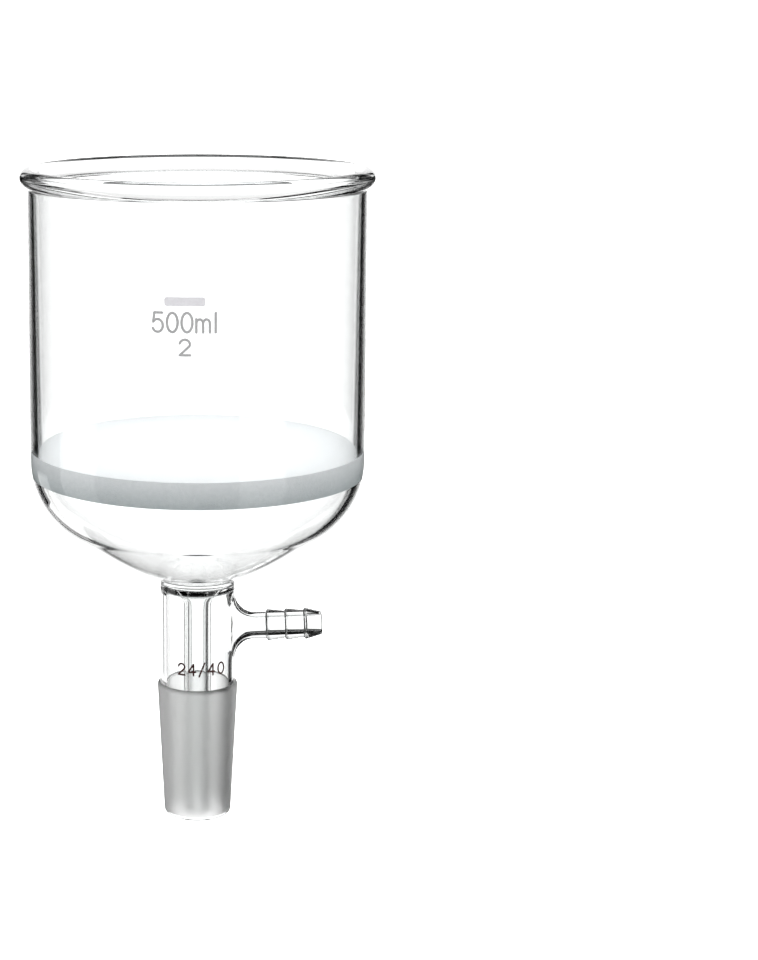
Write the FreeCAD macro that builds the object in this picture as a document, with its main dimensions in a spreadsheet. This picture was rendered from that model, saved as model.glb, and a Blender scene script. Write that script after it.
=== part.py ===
import FreeCAD, Part
import Sketcher
import math
import os

# Buchner funnel: a glass bowl with a fused-in sintered disc, a vacuum jacket with a side arm
# and hose barb, a 24/40 ground cone and a drip tube that runs down through the cone.
#
# Millimetres, +Z up.  The origin is the centre of the ground cone's large end, on the funnel's
# axis.  The side arm points along +X and the fired-on marks face -Y.

doc = FreeCAD.newDocument("BuchnerFunnel")

# ---------------------------------------------------------------- driving dimensions

DIMENSIONS = (
    # bowl
    ("bowl_top_radius", 48.6, "outside radius of the bowl under the rolled rim"),
    ("bowl_foot_radius", 49.1, "outside radius of the bowl at the disc"),
    ("bowl_bore_radius", 46.9, "inside radius of the bowl"),
    ("wall_top_height", 147.3, "where the rolled rim starts"),
    ("shoulder_height", 69.9, "where the straight wall turns into the dome"),
    ("rim_outer_radius", 50.9, "widest radius of the rolled rim"),
    ("rim_bead_radius", 2.7, "section radius of the rolled rim"),
    ("rim_centre_height", 151.7, "height of the rolled rim's section centre"),
    ("rim_fillet_radius", 0.9, "fillet under the rolled rim"),
    ("rim_lip_drop", 2.4, "how far the rim's inner bulge fades down into the wall"),
    # sintered disc
    ("frit_top_height", 73.0, "upper face of the sintered disc"),
    ("frit_bottom_height", 65.5, "lower face of the sintered disc"),
    # dome
    ("dome_wall", 2.2, "thickness of the dome's upper arc"),
    ("shoulder_radius", 26.4, "outside radius of the dome's upper arc"),
    ("shoulder_angle", 50.4, "degrees that the upper arc turns through"),
    ("floor_radius", 90.3, "outside radius of the dome's lower arc"),
    ("floor_angle", 69.8, "degrees from the horizontal where the lower arc ends"),
    ("inner_floor_radius", 97.8, "inside radius of the lower arc, which thins towards the neck"),
    ("inner_floor_angle", 68.0, "degrees from the horizontal where the inside arc ends"),
    # ring seal
    ("well_radius", 10.1, "radius of the well above the drip tube"),
    ("well_corner_radius", 0.8, "corner at the foot of the well"),
    ("flare_height", 24.7, "where the drip tube starts to flare"),
    ("seal_foot_height", 28.4, "where the jacket starts under the ring seal"),
    ("annulus_corner_radius", 0.5, "corner at the top of the space inside the jacket"),
    # jacket, side arm and hose barb
    ("jacket_outer_radius", 11.2, "outside radius of the jacket"),
    ("jacket_bore_radius", 9.4, "inside radius of the jacket"),
    ("arm_height", 17.7, "height of the side arm's axis on the funnel's axis"),
    ("arm_tilt", 2.2, "degrees that the side arm points upwards"),
    ("arm_outer_radius", 4.0, "outside radius of the side arm's neck"),
    ("arm_bore_radius", 2.4, "inside radius of the side arm and barb"),
    ("arm_fillet_radius", 6.0, "outside fillet where the arm leaves the jacket"),
    ("arm_root_radius", 7.0, "radius of the patch that is drawn out with the arm"),
    ("arm_length", 20.4, "funnel's axis to the foot of the hose barb"),
    ("barb_crest_radius", 4.8, "radius of the barb's rings"),
    ("barb_valley_radius", 4.1, "radius in front of each ring"),
    ("barb_tip_radius", 3.55, "radius at the barb's open end"),
    ("barb_pitch", 5.6, "distance from ring to ring"),
    ("barb_step", 0.4, "run of the steep back of each ring"),
    ("barb_tip_rounding", 0.5, "fire-polished edge of the barb's end"),
    # ground cone and drip tube
    ("cone_large_radius", 12.0, "24/40 cone: 24.0 mm across its large end"),
    ("cone_small_radius", 10.05, "radius at the end of the ground surface"),
    ("cone_ground_length", 39.0, "length of the ground surface"),
    ("cone_total_length", 40.3, "large end to the fire-polished tip"),
    ("cone_shoulder_radius", 1.5, "rounding above the large end"),
    ("cone_tip_radius", 1.3, "rounding of the fire-polished tip"),
    ("cone_bore_tip_radius", 8.5, "inside radius of the cone at its tip"),
    ("drip_outer_radius", 4.1, "outside radius of the drip tube"),
    ("drip_bore_radius", 2.6, "inside radius of the drip tube"),
    ("drip_length", 40.0, "how far the drip tube runs below the large end"),
    # fired-on marks
    ("enamel_thickness", 0.08, "thickness of the enamel marks"),
    ("bowl_mark_angle", -4.0, "degrees from -Y towards +X of the bowl's marks"),
    ("bar_bottom", 121.6, "lower edge of the plain bar"),
    ("bar_height", 2.4, "height of the plain bar"),
    ("bar_length", 11.0, "length of the plain bar"),
    ("bar_rounding", 0.7, "corners of the plain bar"),
    ("capacity_bottom", 114.6, "foot of the capacity figures"),
    ("capacity_height", 5.2, "height of the capacity figures"),
    ("capacity_width", 2.9, "width of one capacity figure"),
    ("capacity_gap", 1.05, "space between two capacity figures"),
    ("capacity_pen", 0.7, "stroke of the capacity figures"),
    ("grade_bottom", 108.4, "foot of the porosity grade"),
    ("grade_height", 4.2, "height of the porosity grade"),
    ("grade_pen", 0.68, "stroke of the porosity grade"),
    ("joint_mark_angle", 6.5, "degrees from -Y towards +X of the joint's size"),
    ("joint_mark_bottom", 6.2, "foot of the joint's size"),
    ("joint_mark_height", 3.4, "height of the joint's size"),
    ("joint_mark_width", 2.1, "width of one figure of the joint's size"),
    ("joint_mark_gap", 1.1, "space between two figures of the joint's size"),
    ("joint_mark_pen", 0.5, "stroke of the joint's size"),
)

sheet = doc.addObject("Spreadsheet::Sheet", "Dimensions")
for row, (alias, value, meaning) in enumerate(DIMENSIONS, start=1):
    sheet.set("A%d" % row, alias)
    sheet.set("B%d" % row, str(value))
    sheet.set("C%d" % row, meaning)
    sheet.setAlias("B%d" % row, alias)
doc.recompute()


def dim(alias):
    """The expression that reads one cell of the sheet."""
    return "Dimensions." + alias


def value_of(expression):
    """The number that an expression over the sheet gives now."""
    return float(sheet.evalExpression(expression))


# ---------------------------------------------------------------- helpers

def corner(radius, height, arc=None):
    """One corner of a section.  arc is (radius, side) of the edge that leads to the next corner:
    side +1 has the arc's centre on the left of the way there, -1 on the right."""
    return radius, height, arc


def arc_geometry(start, end, radius, side):
    """An arc between two points, and which of its ends (1 or 2) is the start."""
    along = end - start
    half = along.Length / 2
    left = FreeCAD.Vector(-along.y, along.x, 0) / along.Length
    reach = math.sqrt(max(radius * radius - half * half, 0.0))
    centre = (start + end) / 2 + left * (side * reach)
    first, last = (start, end) if side > 0 else (end, start)
    begin = math.atan2(first.y - centre.y, first.x - centre.x)
    finish = math.atan2(last.y - centre.y, last.x - centre.x)
    circle = Part.Circle(centre, FreeCAD.Vector(0, 0, 1), radius)
    return Part.ArcOfCircle(circle, begin, finish), (1 if side > 0 else 2)


def draw_section(sketch, corners):
    """A closed section whose corners and arc radii are bound to the sheet."""
    points = [FreeCAD.Vector(value_of(r), value_of(z), 0) for r, z, arc in corners]
    ends = []
    for index, (r, z, arc) in enumerate(corners):
        start = points[index]
        end = points[(index + 1) % len(points)]
        if arc is None:
            edge = sketch.addGeometry(Part.LineSegment(start, end))
            ends.append((edge, 1, 2))
            continue
        radius, side = arc
        shape, first = arc_geometry(start, end, value_of(radius), side)
        edge = sketch.addGeometry(shape)
        ends.append((edge, first, 3 - first))
        size = sketch.addConstraint(Sketcher.Constraint("Radius", edge, value_of(radius)))
        sketch.setExpression("Constraints[%d]" % size, radius)
    for index, (r, z, arc) in enumerate(corners):
        edge, first, last = ends[index]
        before, skip, before_last = ends[index - 1]
        sketch.addConstraint(Sketcher.Constraint("Coincident", before, before_last, edge, first))
        for kind, expression in (("DistanceX", r), ("DistanceY", z)):
            place = Sketcher.Constraint(kind, -1, 1, edge, first, value_of(expression))
            number = sketch.addConstraint(place)
            sketch.setExpression("Constraints[%d]" % number, expression)


def origin_feature(body, role):
    """One of the body's own origin planes or axes."""
    return next(item for item in body.Origin.OriginFeatures if item.Role == role)


def turned_body(name, corners):
    """A body turned about its own Z axis from a section in its XZ plane."""
    body = doc.addObject("PartDesign::Body", name)
    body.Label = name
    sketch = body.newObject("Sketcher::SketchObject", name + "_section")
    sketch.AttachmentSupport = [(origin_feature(body, "XZ_Plane"), "")]
    sketch.MapMode = "FlatFace"
    draw_section(sketch, corners)
    turn = body.newObject("PartDesign::Revolution", name + "_turn")
    turn.Profile = sketch
    turn.ReferenceAxis = (sketch, ["V_Axis"])
    turn.Angle = 360.0
    return body


def round_bar(name, radius, length, bottom="0"):
    """A cylinder on the funnel's axis, with its sizes bound to the sheet."""
    bar = doc.addObject("Part::Cylinder", name)
    bar.setExpression("Radius", radius)
    bar.setExpression("Height", length)
    bar.setExpression("Placement.Base.z", bottom)
    return bar


def along_arm(feature):
    """Points a feature's own Z axis along the side arm."""
    feature.setExpression("Placement.Base.z", dim("arm_height"))
    feature.Placement.Rotation = FreeCAD.Rotation(FreeCAD.Vector(0, 1, 0), 90)
    feature.setExpression("Placement.Rotation.Angle", "90 deg - %s * 1 deg" % dim("arm_tilt"))
    return feature


def combine(kind, name, base, tool):
    """A boolean of two features."""
    result = doc.addObject(kind, name)
    result.Base = base
    result.Tool = tool
    return result


# ---------------------------------------------------------------- bowl


def make_rolled_rim():
    """The rolled, fire-polished bead round the mouth."""
    centre = "(%s - %s)" % (dim("rim_outer_radius"), dim("rim_bead_radius"))
    bead = dim("rim_bead_radius")
    middle = dim("rim_centre_height")
    foot = dim("wall_top_height")
    fillet = dim("rim_fillet_radius")
    # The fillet touches the wall where the rim starts and the bead where the two centres' line
    # crosses it.
    fillet_centre_radius = "(%s + %s)" % (dim("bowl_top_radius"), fillet)
    reach = "(%s + %s)" % (bead, fillet)
    across = "(%s - %s)" % (fillet_centre_radius, centre)
    down = "sqrt(%s * %s - %s * %s)" % (reach, reach, across, across)
    touch_radius = "%s + %s * %s / %s" % (centre, bead, across, reach)
    touch_height = "%s - %s * %s / %s" % (middle, bead, down, reach)
    fillet_foot = "%s - %s" % (middle, down)
    return turned_body("rolled_rim", [
        corner(dim("bowl_bore_radius"), foot),
        corner(dim("bowl_top_radius"), foot),
        corner(dim("bowl_top_radius"), fillet_foot, (fillet, -1)),
        corner(touch_radius, touch_height, (bead, 1)),
        corner(centre, "%s + %s" % (middle, bead), (bead, 1)),
        corner("%s - %s" % (centre, bead), middle),
        corner(dim("bowl_bore_radius"), "%s - %s" % (middle, dim("rim_lip_drop"))),
    ])


def make_bowl_wall():
    """The straight wall, a touch wider at the disc than under the rim."""
    return turned_body("bowl_wall", [
        corner(dim("bowl_bore_radius"), dim("shoulder_height")),
        corner(dim("bowl_foot_radius"), dim("shoulder_height")),
        corner(dim("bowl_top_radius"), dim("wall_top_height")),
        corner(dim("bowl_bore_radius"), dim("wall_top_height")),
    ])


def make_frit_disc():
    """The sintered glass disc, fused into the bowl all round."""
    thickness = "%s - %s" % (dim("frit_top_height"), dim("frit_bottom_height"))
    return round_bar("frit_disc", dim("bowl_bore_radius"), thickness, dim("frit_bottom_height"))


# The dome's section is an upper arc and a lower one that carries on from it, once outside and
# once inside: (radius of the upper arc, radius of the lower arc).
SHOULDER_CENTRE = "(%s - %s)" % (dim("bowl_foot_radius"), dim("shoulder_radius"))
OUTSIDE = (dim("shoulder_radius"), dim("floor_radius"))
INSIDE = ("(%s - %s)" % (dim("shoulder_radius"), dim("dome_wall")), dim("inner_floor_radius"))


def on_shoulder(upper, angle):
    """A point of an upper arc."""
    return ("%s + %s * cos(%s)" % (SHOULDER_CENTRE, upper, angle),
            "%s - %s * sin(%s)" % (dim("shoulder_height"), upper, angle))


def on_floor(upper, lower, angle):
    """A point of the lower arc that carries on from an upper arc."""
    radius, height = on_shoulder("(%s - %s)" % (upper, lower), dim("shoulder_angle"))
    return ("%s + %s * cos(%s)" % (radius, lower, angle),
            "%s - %s * sin(%s)" % (height, lower, angle))


def make_dome_bottom():
    """The dome under the disc, which narrows to the ring seal."""
    inner_shoulder, inner_floor = INSIDE
    # The disc stands on a narrow ledge where the straight bore ends.
    ledge = "(%s - %s)" % (dim("shoulder_height"), dim("frit_bottom_height"))
    ledge_radius = "%s + sqrt(%s * %s - %s * %s)" % (
        SHOULDER_CENTRE, inner_shoulder, inner_shoulder, ledge, ledge)
    return turned_body("dome_bottom", [
        corner(dim("bowl_bore_radius"), dim("shoulder_height")),
        corner(dim("bowl_bore_radius"), dim("frit_bottom_height")),
        corner(ledge_radius, dim("frit_bottom_height"), (inner_shoulder, -1)),
        corner(*on_shoulder(inner_shoulder, dim("shoulder_angle")), (inner_floor, -1)),
        corner(*on_floor(*INSIDE, dim("inner_floor_angle"))),
        corner(*on_floor(*OUTSIDE, dim("floor_angle")), (dim("floor_radius"), 1)),
        corner(*on_shoulder(dim("shoulder_radius"), dim("shoulder_angle")),
               (dim("shoulder_radius"), 1)),
        corner(dim("bowl_foot_radius"), dim("shoulder_height")),
    ])


# ---------------------------------------------------------------- ring seal and tubes


# The radius of the centre that the drip tube's flare turns about: the well's corner ends there.
FLARE_CENTRE = "(%s - %s)" % (dim("well_radius"), dim("well_corner_radius"))


def make_ring_seal():
    """The fused ring where the dome, the jacket and the drip tube's flare come together."""
    angle = dim("floor_angle")
    inner_angle = dim("inner_floor_angle")
    outer_radius, outer_height = on_floor(*OUTSIDE, angle)
    inner_radius, inner_height = on_floor(*INSIDE, inner_angle)
    # The outside fillet carries on from the dome and runs down onto the jacket; the inside
    # rounding does the same into the well.
    fillet = "((%s - %s) / (1 - cos(%s)))" % (outer_radius, dim("jacket_outer_radius"), angle)
    fillet_foot = "%s - %s * sin(%s)" % (outer_height, fillet, angle)
    rounding = "((%s - %s) / (1 - cos(%s)))" % (inner_radius, dim("well_radius"), inner_angle)
    rounding_foot = "%s - %s * sin(%s)" % (inner_height, rounding, inner_angle)
    flare_outer = "(%s - %s)" % (FLARE_CENTRE, dim("drip_outer_radius"))
    flare_inner = "(%s - %s)" % (FLARE_CENTRE, dim("drip_bore_radius"))
    flare_top = "%s + %s" % (dim("flare_height"), flare_inner)
    corner_size = dim("well_corner_radius")
    # The annulus is closed by a corner that touches the flare's outside and the jacket's bore.
    notch = dim("annulus_corner_radius")
    notch_centre = "(%s - %s)" % (dim("jacket_bore_radius"), notch)
    inwards = "(%s - %s)" % (FLARE_CENTRE, notch_centre)
    reach = "(%s - %s)" % (flare_outer, notch)
    lift = "sqrt(%s * %s - %s * %s)" % (reach, reach, inwards, inwards)
    touch_radius = "%s - %s * %s / %s" % (FLARE_CENTRE, inwards, flare_outer, reach)
    touch_height = "%s + %s * %s / %s" % (dim("flare_height"), lift, flare_outer, reach)
    return turned_body("ring_seal", [
        corner(inner_radius, inner_height, (rounding, 1)),
        corner(dim("well_radius"), rounding_foot),
        corner(dim("well_radius"), "%s + %s" % (flare_top, corner_size), (corner_size, -1)),
        corner(FLARE_CENTRE, flare_top, (flare_inner, 1)),
        corner(dim("drip_bore_radius"), dim("flare_height")),
        corner(dim("drip_outer_radius"), dim("flare_height"), (flare_outer, -1)),
        corner(touch_radius, touch_height, (notch, -1)),
        corner(dim("jacket_bore_radius"), "%s + %s" % (dim("flare_height"), lift)),
        corner(dim("jacket_bore_radius"), dim("seal_foot_height")),
        corner(dim("jacket_outer_radius"), dim("seal_foot_height")),
        corner(dim("jacket_outer_radius"), fillet_foot, (fillet, -1)),
        corner(outer_radius, outer_height),
    ])


def make_drip_tube():
    """The plain tube that carries the filtrate down past the vacuum outlet."""
    return turned_body("drip_tube", [
        corner(dim("drip_bore_radius"), "-" + dim("drip_length")),
        corner(dim("drip_outer_radius"), "-" + dim("drip_length")),
        corner(dim("drip_outer_radius"), dim("flare_height")),
        corner(dim("drip_bore_radius"), dim("flare_height")),
    ])


def cone_shoulder():
    """The height at which the ground cone's rounded shoulder meets the jacket."""
    rounding = dim("cone_shoulder_radius")
    across = "(%s - %s + %s)" % (dim("jacket_outer_radius"), dim("cone_large_radius"), rounding)
    return "sqrt(%s * %s - %s * %s)" % (rounding, rounding, across, across)


def make_joint_cone():
    """The 24/40 ground cone: a 1:10 taper with a clear, fire-polished tip."""
    rounding = dim("cone_tip_radius")
    tip = "-" + dim("cone_total_length")
    return turned_body("joint_cone", [
        corner(dim("jacket_bore_radius"), cone_shoulder()),
        corner(dim("cone_bore_tip_radius"), tip),
        corner("%s - %s" % (dim("cone_small_radius"), rounding), tip, (rounding, 1)),
        corner(dim("cone_small_radius"), "-" + dim("cone_ground_length")),
        corner(dim("cone_large_radius"), "0", (dim("cone_shoulder_radius"), 1)),
        corner(dim("jacket_outer_radius"), cone_shoulder()),
    ])


# ---------------------------------------------------------------- jacket, side arm, barb


def filleted_tee(name, jacket_radius, arm_radius, fillet_radius):
    """The jacket's cylinder and the side arm's, with a fillet where they meet."""
    length = "%s - %s" % (dim("seal_foot_height"), cone_shoulder())
    stem = round_bar(name + "_stem", jacket_radius, length, cone_shoulder())
    branch = along_arm(round_bar(name + "_branch", arm_radius, dim("arm_length")))
    tee = combine("Part::Fuse", name + "_tee", stem, branch)
    doc.recompute()
    # The seam edge is the only one that lies neither on the ends nor along a cylinder.
    size = value_of(fillet_radius)
    seam = []
    for number, edge in enumerate(tee.Shape.Edges, start=1):
        if edge.Curve.TypeId not in ("Part::GeomLine", "Part::GeomCircle"):
            seam.append((number, size, size))
    fillet = doc.addObject("Part::Fillet", name + "_fillet")
    fillet.Base = tee
    fillet.Edges = seam
    return fillet


def make_jacket_and_arm():
    """The vacuum jacket, and the side arm with the patch of wall that is drawn out with it."""
    wall = "(%s - %s)" % (dim("arm_outer_radius"), dim("arm_bore_radius"))
    outside = filleted_tee("outside", dim("jacket_outer_radius"), dim("arm_outer_radius"),
                           dim("arm_fillet_radius"))
    inside = filleted_tee("inside", dim("jacket_bore_radius"), dim("arm_bore_radius"),
                          "%s + %s" % (dim("arm_fillet_radius"), wall))
    shell = combine("Part::Cut", "jacket_and_arm", outside, inside)
    root = along_arm(round_bar("root_patch", dim("arm_root_radius"), dim("arm_length")))
    jacket = combine("Part::Cut", "jacket_tube", shell, root)
    arm = combine("Part::Common", "side_arm", shell, root)
    return [jacket, arm]


def make_hose_barb():
    """Three rings, each steep behind and tapering towards the open end."""
    foot = dim("arm_length")
    tip_edge = dim("barb_tip_rounding")
    corners = [corner(dim("arm_outer_radius"), foot)]
    for ring in range(3):
        start = "%s + %d * %s" % (foot, ring, dim("barb_pitch"))
        back = dim("arm_outer_radius") if ring == 0 else dim("barb_valley_radius")
        if ring > 0:
            corners.append(corner(back, start))
        corners.append(corner(dim("barb_crest_radius"), "%s + %s" % (start, dim("barb_step"))))
    end = "%s + 3 * %s" % (foot, dim("barb_pitch"))
    corners += [
        corner(dim("barb_tip_radius"), "%s - %s" % (end, tip_edge), (tip_edge, 1)),
        corner("%s - %s" % (dim("barb_tip_radius"), tip_edge), end),
        corner(dim("arm_bore_radius"), end),
        corner(dim("arm_bore_radius"), foot),
    ]
    return along_arm(turned_body("hose_barb", corners))


# ---------------------------------------------------------------- fired-on marks

# Strokes of each figure in a cell one unit wide and high:
# ("line", x, z, x, z) or ("arc", centre x, centre z, half width, half height, from, to degrees).
STROKES = {
    "0": [("arc", 0.5, 0.5, 0.5, 0.5, 0, 360)],
    "2": [("arc", 0.5, 0.71, 0.47, 0.29, -28, 170), ("line", 0.91, 0.57, 0.02, 0.0),
          ("line", 0.02, 0.0, 1.0, 0.0)],
    "4": [("line", 0.72, 0.0, 0.72, 1.0), ("line", 0.72, 1.0, 0.0, 0.30),
          ("line", 0.0, 0.30, 1.0, 0.30)],
    "5": [("line", 0.92, 1.0, 0.18, 1.0), ("line", 0.18, 1.0, 0.08, 0.52),
          ("arc", 0.48, 0.33, 0.50, 0.33, -155, 145)],
    "/": [("line", 0.0, -0.1, 1.0, 1.1)],
    "m": [("line", 0.0, 0.0, 0.0, 0.68), ("arc", 0.25, 0.45, 0.25, 0.22, 0, 180),
          ("line", 0.5, 0.45, 0.5, 0.0), ("arc", 0.75, 0.45, 0.25, 0.22, 0, 180),
          ("line", 1.0, 0.45, 1.0, 0.0)],
    "l": [("line", 0.5, 0.0, 0.5, 1.0)],
}
FIGURE_WIDTHS = {"m": 1.25, "l": 0.35, "/": 0.75}
ARC_STEP = 15.0     # degrees of arc that one chord of a stroke spans
DEEP = 60.0         # longer than the widest radius that a mark lies on


def stroke_points(stroke):
    """The line or the run of chords that a stroke follows."""
    if stroke[0] == "line":
        return [(stroke[1], stroke[2]), (stroke[3], stroke[4])]
    kind, x, z, half_width, half_height, begin, finish = stroke
    steps = int(math.ceil((finish - begin) / ARC_STEP))
    angles = [math.radians(begin + (finish - begin) * step / steps) for step in range(steps + 1)]
    return [(x + half_width * math.cos(a), z + half_height * math.sin(a)) for a in angles]


def stroke_solids(points, pen):
    """Bars with round ends along the points, pointing from the axis out towards -Y."""
    solids = []
    outwards = FreeCAD.Vector(0, -1, 0)
    for x, z in points:
        solids.append(Part.makeCylinder(pen / 2, DEEP, FreeCAD.Vector(x, 0, z), outwards))
    for (x, z), (next_x, next_z) in zip(points, points[1:]):
        run = FreeCAD.Vector(next_x - x, 0, next_z - z)
        bar = Part.makeBox(run.Length, DEEP, pen, FreeCAD.Vector(0, -DEEP, -pen / 2))
        slope = math.degrees(math.atan2(run.z, run.x))
        bar.rotate(FreeCAD.Vector(0, 0, 0), FreeCAD.Vector(0, 1, 0), -slope)
        bar.translate(FreeCAD.Vector(x, 0, z))
        solids.append(bar)
    return solids


def skin(bottom, top, radius_at):
    """A shell as thick as the enamel, lying on the glass between two heights."""
    thickness = value_of(dim("enamel_thickness"))
    section = Part.makePolygon([
        FreeCAD.Vector(radius_at(bottom), 0, bottom),
        FreeCAD.Vector(radius_at(bottom) + thickness, 0, bottom),
        FreeCAD.Vector(radius_at(top) + thickness, 0, top),
        FreeCAD.Vector(radius_at(top), 0, top),
        FreeCAD.Vector(radius_at(bottom), 0, bottom)])
    return Part.Face(section).revolve(FreeCAD.Vector(0, 0, 0), FreeCAD.Vector(0, 0, 1), 360)


def bowl_radius_at(height):
    """Outside radius of the bowl's straight wall."""
    foot = value_of(dim("bowl_foot_radius"))
    top = value_of(dim("bowl_top_radius"))
    start = value_of(dim("shoulder_height"))
    return foot + (top - foot) * (height - start) / (value_of(dim("wall_top_height")) - start)


def jacket_radius_at(height):
    """Outside radius of the jacket."""
    return value_of(dim("jacket_outer_radius"))


def fired_on(name, shape):
    """A mark as a feature of the document."""
    mark = doc.addObject("Part::Feature", name)
    mark.Shape = Part.makeCompound(shape.Solids)
    mark.Placement = FreeCAD.Placement()
    return mark


def turned_about_axis(shape, angle):
    """Turns a shape about the funnel's axis."""
    shape.rotate(FreeCAD.Vector(0, 0, 0), FreeCAD.Vector(0, 0, 1), angle)
    return shape


def make_figures(name, text, bottom, height, width, gap, pen, middle_angle, radius_at):
    """Figures fired onto the glass round the funnel's axis, each facing straight out."""
    radius = radius_at(bottom)
    widths = [width * FIGURE_WIDTHS.get(letter, 1.0) for letter in text]
    length = sum(widths) + gap * (len(text) - 1)
    shell = skin(bottom - height, bottom + 2 * height, radius_at)
    pieces = []
    start = -length / 2
    for letter, figure_width in zip(text, widths):
        solids = []
        for stroke in STROKES[letter]:
            points = [((x - 0.5) * figure_width, bottom + z * height)
                      for x, z in stroke_points(stroke)]
            solids += stroke_solids(points, pen)
        figure = solids[0].fuse(solids[1:]).common(shell).removeSplitter()
        angle = middle_angle + math.degrees((start + figure_width / 2) / radius)
        pieces += turned_about_axis(figure, angle).Solids
        start += figure_width + gap
    return fired_on(name, Part.makeCompound(pieces))


def make_marking_bar():
    """A plain bar above the capacity."""
    bottom = value_of(dim("bar_bottom"))
    height = value_of(dim("bar_height"))
    length = value_of(dim("bar_length"))
    bar = Part.makeBox(length, DEEP, height, FreeCAD.Vector(-length / 2, -DEEP, bottom))
    long_edges = [edge for edge in bar.Edges if edge.BoundBox.YLength > DEEP / 2]
    bar = bar.makeFillet(value_of(dim("bar_rounding")), long_edges)
    plate = bar.common(skin(bottom - height, bottom + 2 * height, bowl_radius_at))
    return fired_on("marking_bar", turned_about_axis(plate, value_of(dim("bowl_mark_angle"))))


def make_marks():
    """A plain bar, the capacity, the porosity grade and the joint's size."""
    bowl_angle = value_of(dim("bowl_mark_angle"))
    width = value_of(dim("capacity_width"))
    gap = value_of(dim("capacity_gap"))
    capacity = make_figures(
        "capacity_mark", "500ml", value_of(dim("capacity_bottom")),
        value_of(dim("capacity_height")), width, gap,
        value_of(dim("capacity_pen")), bowl_angle, bowl_radius_at)
    grade = make_figures(
        "grade_mark", "2", value_of(dim("grade_bottom")), value_of(dim("grade_height")),
        width, gap, value_of(dim("grade_pen")), bowl_angle, bowl_radius_at)
    joint_size = make_figures(
        "joint_size_mark", "24/40", value_of(dim("joint_mark_bottom")),
        value_of(dim("joint_mark_height")), value_of(dim("joint_mark_width")),
        value_of(dim("joint_mark_gap")), value_of(dim("joint_mark_pen")),
        value_of(dim("joint_mark_angle")), jacket_radius_at)
    return [make_marking_bar(), capacity, grade, joint_size]


# ---------------------------------------------------------------- build and write

parts = [make_rolled_rim(), make_bowl_wall(), make_frit_disc(), make_dome_bottom(),
         make_ring_seal(), make_drip_tube(), make_joint_cone(), make_hose_barb()]
parts += make_jacket_and_arm()
doc.recompute()
parts += make_marks()
doc.recompute()

for feature in doc.Objects:
    if "Invalid" in feature.State or "Error" in feature.State:
        raise RuntimeError("%s failed: %s" % (feature.Name, feature.State))
for part in parts:
    if part.Shape.isNull() or not part.Shape.isValid() or not part.Shape.Solids:
        raise RuntimeError("%s has no valid solid" % part.Label)

os.makedirs("parts", exist_ok=True)
for part in parts:
    part.Shape.exportStep("parts/%s.step" % part.Label)
    box = part.Shape.BoundBox
    print("%-16s %3d solid(s) %10.1f mm3  x %7.2f %7.2f  y %7.2f %7.2f  z %7.2f %7.2f" % (
        part.Label, len(part.Shape.Solids), part.Shape.Volume,
        box.XMin, box.XMax, box.YMin, box.YMax, box.ZMin, box.ZMax))
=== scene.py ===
import bmesh
import bpy
import math
from mathutils import Matrix, Vector, noise


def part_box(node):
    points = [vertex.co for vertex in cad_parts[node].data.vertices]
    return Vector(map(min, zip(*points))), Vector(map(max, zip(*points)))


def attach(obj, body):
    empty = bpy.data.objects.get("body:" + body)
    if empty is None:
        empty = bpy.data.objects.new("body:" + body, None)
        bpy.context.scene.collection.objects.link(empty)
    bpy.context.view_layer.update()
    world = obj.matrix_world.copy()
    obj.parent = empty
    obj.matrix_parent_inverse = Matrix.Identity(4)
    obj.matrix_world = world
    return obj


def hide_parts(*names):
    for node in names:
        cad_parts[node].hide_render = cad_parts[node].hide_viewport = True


# Visual model of a Buchner funnel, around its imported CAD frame.  Metres, +Z up, the funnel's axis
# on Z, the side arm towards +X and the marks facing -Y.  Lengths below are named in millimetres.

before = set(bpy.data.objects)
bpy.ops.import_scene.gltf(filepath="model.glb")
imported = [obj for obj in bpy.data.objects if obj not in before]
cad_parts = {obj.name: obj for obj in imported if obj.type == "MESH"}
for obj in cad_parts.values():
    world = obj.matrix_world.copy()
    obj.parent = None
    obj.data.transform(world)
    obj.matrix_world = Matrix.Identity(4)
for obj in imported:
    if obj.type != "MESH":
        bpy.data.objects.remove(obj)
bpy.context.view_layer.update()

MM = 0.001
SEGMENTS = 256          # round the funnel's axis
ARM_SEGMENTS = 128      # round the side arm's axis
GLASS, SEAM, GROUND = 0, 1, 2
CREASE_ANGLE = math.radians(32)
WELD_DISTANCE = 1e-7


# ---------------------------------------------------------------- sizes


def top_of(node):
    """A CAD node's highest point, in millimetres."""
    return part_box(node)[1].z / MM


def foot_of(node):
    """A CAD node's lowest point, in millimetres."""
    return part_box(node)[0].z / MM


def reach_of(node):
    """A CAD node's widest radius from the funnel's axis, in millimetres."""
    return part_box(node)[1].y / MM


FRIT_TOP = top_of("frit_disc")
FRIT_FOOT = foot_of("frit_disc")
FRIT_SUNK = 0.15        # how far its rim is fused into the wall
FRIT_BED = 0.02         # and its underside into the ledge
BOWL_FOOT_RADIUS = reach_of("bowl_wall")
BOWL_TOP_RADIUS = 48.6
BORE_RADIUS = 46.9
WALL_TOP = top_of("bowl_wall")
SHOULDER_HEIGHT = foot_of("bowl_wall")

RIM_RADIUS = reach_of("rolled_rim")
RIM_BEAD = 2.7
RIM_CENTRE = top_of("rolled_rim") - RIM_BEAD
RIM_FILLET = 0.9
RIM_LIP_DROP = 2.4

DOME_WALL = 2.2
SHOULDER_RADIUS = 26.4
INNER_SHOULDER_RADIUS = SHOULDER_RADIUS - DOME_WALL
SHOULDER_ANGLE = math.radians(50.4)
FLOOR_RADIUS = 90.3
FLOOR_ANGLE = math.radians(69.8)
INNER_FLOOR_RADIUS = 97.8
INNER_FLOOR_ANGLE = math.radians(68.0)

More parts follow.
